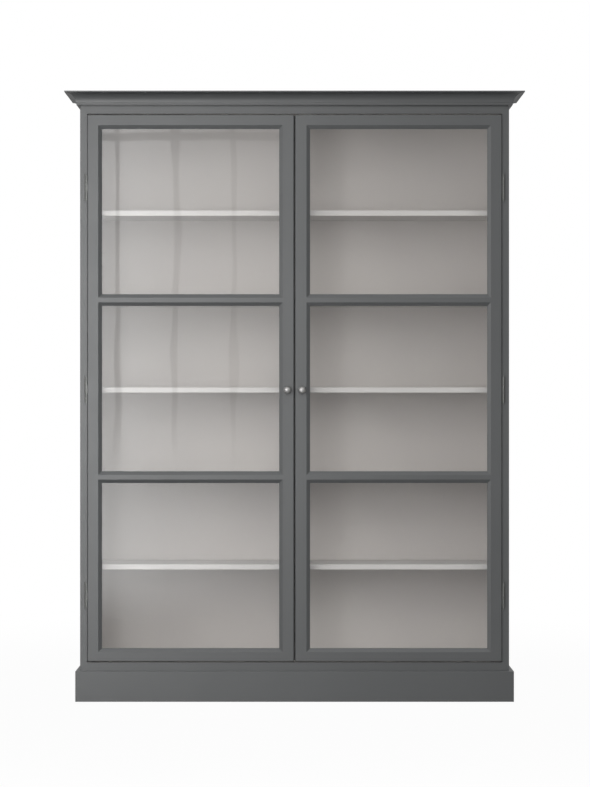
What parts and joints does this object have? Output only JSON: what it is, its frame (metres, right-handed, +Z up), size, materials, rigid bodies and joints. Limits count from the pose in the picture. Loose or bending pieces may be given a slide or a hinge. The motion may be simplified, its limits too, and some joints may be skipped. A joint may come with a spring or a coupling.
{
  "type": "glazed bookcase",
  "caption": "Tall painted bookcase on a plinth, with a coved cornice, a pair of hinged glazed doors, round knobs and full-width shelves behind the glass.",
  "frame": {"origin": "on the floor under the middle of the whole cabinet, cornice included", "axes": "+X to the viewer's right, +Y to the back (the doors face -Y), +Z up"},
  "size_m": [1.5, 0.4, 1.993],
  "materials": {
    "grey_paint": "dark grey satin paint on wood",
    "inside_paint": "off-white satin paint on wood",
    "bare_wood": "bare sanded softwood",
    "satin_metal": "satin",
    "clear_glass": "clear polished float glass",
    "catch_plastic": "light moulded plastic"
  },
  "bodies": {
    "cabinet": {"back_panel": "inside_paint", "back_panel_screws": "satin_metal", "bottom_panel": "grey_paint", "carcass_dowels": "bare_wood", "cornice_back_rail": "bare_wood", "cornice_cover": "grey_paint", "cornice_front": "grey_paint", "cornice_left": "grey_paint", "cornice_right": "grey_paint", "cornice_screws": "satin_metal", "door_catches": "catch_plastic", "hinge_frame_leaves_left": "satin_metal", "hinge_frame_leaves_right": "satin_metal", "hinge_frame_screws": "satin_metal", "hinge_pins": "satin_metal", "plinth_back": "bare_wood", "plinth_blocks": "bare_wood", "plinth_front": "grey_paint", "plinth_left": "grey_paint", "plinth_right": "grey_paint", "plinth_screws": "satin_metal", "shelf_1": "inside_paint", "shelf_2": "inside_paint", "shelf_3": "inside_paint", "shelf_4": "inside_paint", "shelf_5": "inside_paint", "shelf_pins": "satin_metal", "side_panel_left": "grey_paint", "side_panel_right": "grey_paint", "top_panel": "grey_paint"},
    "left_door": {"left_bottom_rail": "grey_paint", "left_glazing_beads": "grey_paint", "left_hinge_leaves": "satin_metal", "left_hinge_screws": "satin_metal", "left_hinge_stile": "grey_paint", "left_knob": "satin_metal", "left_knob_screw": "satin_metal", "left_lower_bar": "grey_paint", "left_meeting_stile": "grey_paint", "left_pane_bottom": "clear_glass", "left_pane_middle": "clear_glass", "left_pane_top": "clear_glass", "left_strike_plate": "satin_metal", "left_top_rail": "grey_paint", "left_upper_bar": "grey_paint"},
    "right_door": {"right_bottom_rail": "grey_paint", "right_glazing_beads": "grey_paint", "right_hinge_leaves": "satin_metal", "right_hinge_screws": "satin_metal", "right_hinge_stile": "grey_paint", "right_knob": "satin_metal", "right_knob_screw": "satin_metal", "right_lower_bar": "grey_paint", "right_meeting_stile": "grey_paint", "right_pane_bottom": "clear_glass", "right_pane_middle": "clear_glass", "right_pane_top": "clear_glass", "right_strike_plate": "satin_metal", "right_top_rail": "grey_paint", "right_upper_bar": "grey_paint"}
  },
  "joints": [
    {"name": "left_door_hinge", "type": "hinge", "parent": "cabinet", "child": "left_door", "pos_m": [-0.684, -0.1557, 1.0193], "axis": [0, 0, -1], "range_deg": [0, 170]},
    {"name": "right_door_hinge", "type": "hinge", "parent": "cabinet", "child": "right_door", "pos_m": [0.684, -0.1557, 1.0193], "axis": [0, 0, 1], "range_deg": [0, 170]}
  ]
}
